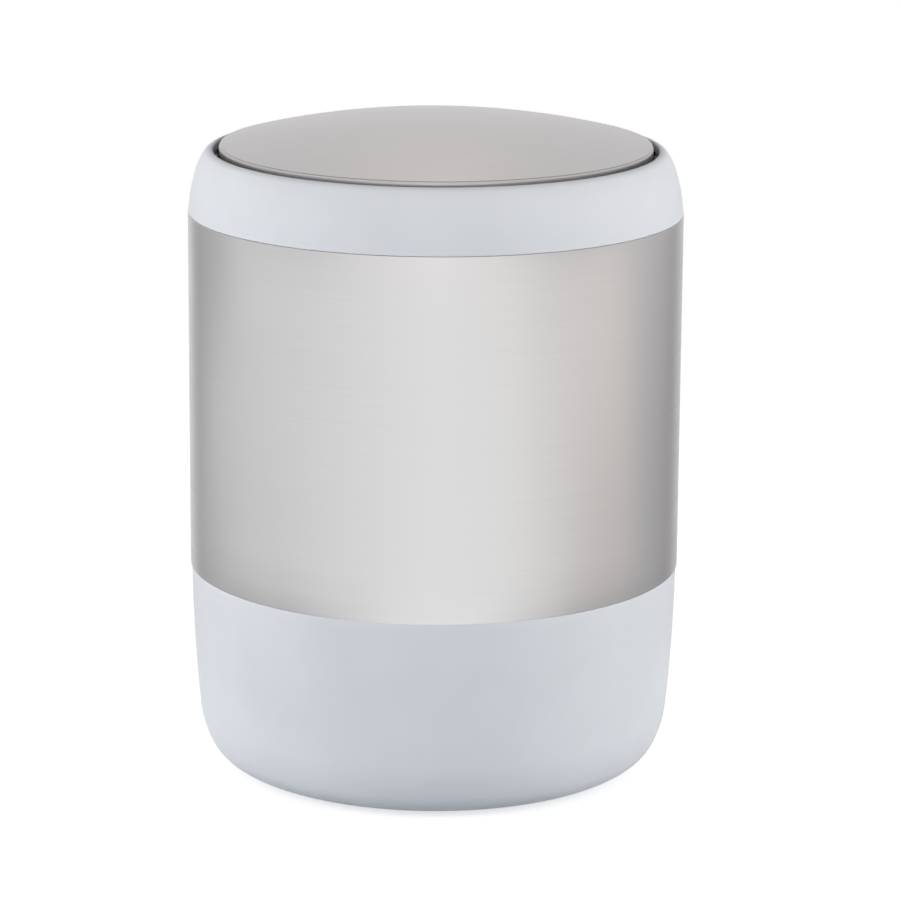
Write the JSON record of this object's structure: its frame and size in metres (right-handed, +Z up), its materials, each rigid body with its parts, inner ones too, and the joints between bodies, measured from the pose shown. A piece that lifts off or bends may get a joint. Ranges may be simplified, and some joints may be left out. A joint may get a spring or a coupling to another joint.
{
  "type": "countertop trash can with swing lid",
  "caption": "Small round bin with a white bowl, a brushed steel band, a white collar and a domed steel lid that swings on a level axis; a bucket with a bail lifts out.",
  "frame": {"origin": "centre of the underside, on the surface that the feet stand on", "axes": "+Z up, front towards -Y; the lid swings about X"},
  "size_m": [0.1602, 0.1602, 0.2141],
  "materials": {
    "white_moulding": "matte, very light cool grey white, fine texture",
    "brushed_steel": "satin stainless, fine brushing round the sleeve",
    "lid_steel": "satin stainless, fine straight brushing",
    "dark_moulding": "matte dark grey",
    "bucket_plastic": "satin mid grey",
    "bearing_plastic": "black acetal, slightly glossy",
    "rubber": "matte dark grey",
    "zinc_screws": "bright zinc",
    "pin_steel": "drawn bright stainless",
    "bar_steel": "plain ground steel"
  },
  "bodies": {
    "bin": {"bin_body": "white_moulding", "steel_sleeve": "brushed_steel", "foot_pads": "rubber"},
    "collar": {"collar_shell": "white_moulding", "lid_frame": "dark_moulding", "frame_screws": "zinc_screws", "bush_left": "bearing_plastic", "bush_right": "bearing_plastic", "bearing_cap_left": "dark_moulding", "bearing_cap_right": "dark_moulding", "cap_screws": "zinc_screws", "stop_sleeves": "rubber"},
    "lid": {"lid_skin": "lid_steel", "lid_carrier": "dark_moulding", "pivot_pin_left": "pin_steel", "pivot_pin_right": "pin_steel", "counterweight": "bar_steel", "counterweight_screws": "zinc_screws"},
    "bucket": {"inner_bucket": "bucket_plastic"},
    "bail": {"bail_wire": "pin_steel", "bail_grip": "dark_moulding"}
  },
  "joints": [
    {"name": "collar_lift", "type": "slide", "parent": "bin", "child": "collar", "axis": [0, 0, 1], "range_m": [0, 0.37]},
    {"name": "lid_swing", "type": "hinge", "parent": "collar", "child": "lid", "pos_m": [0, 0, 0.1969], "axis": [1, 0, 0], "range_deg": [-75, 75]},
    {"name": "bucket_lift", "type": "slide", "parent": "bin", "child": "bucket", "axis": [0, 0, 1], "range_m": [0, 0.185]},
    {"name": "bail_swing", "type": "hinge", "parent": "bucket", "child": "bail", "pos_m": [0, 0, 0.1676], "axis": [1, 0, 0], "range_deg": [0, 180]}
  ],
  "couplings": [
    {"joint": "bucket_lift", "follows": "collar_lift", "ratio": 0.5},
    {"joint": "bail_swing", "follows": "collar_lift", "rad_per_m": 4.2454}
  ]
}
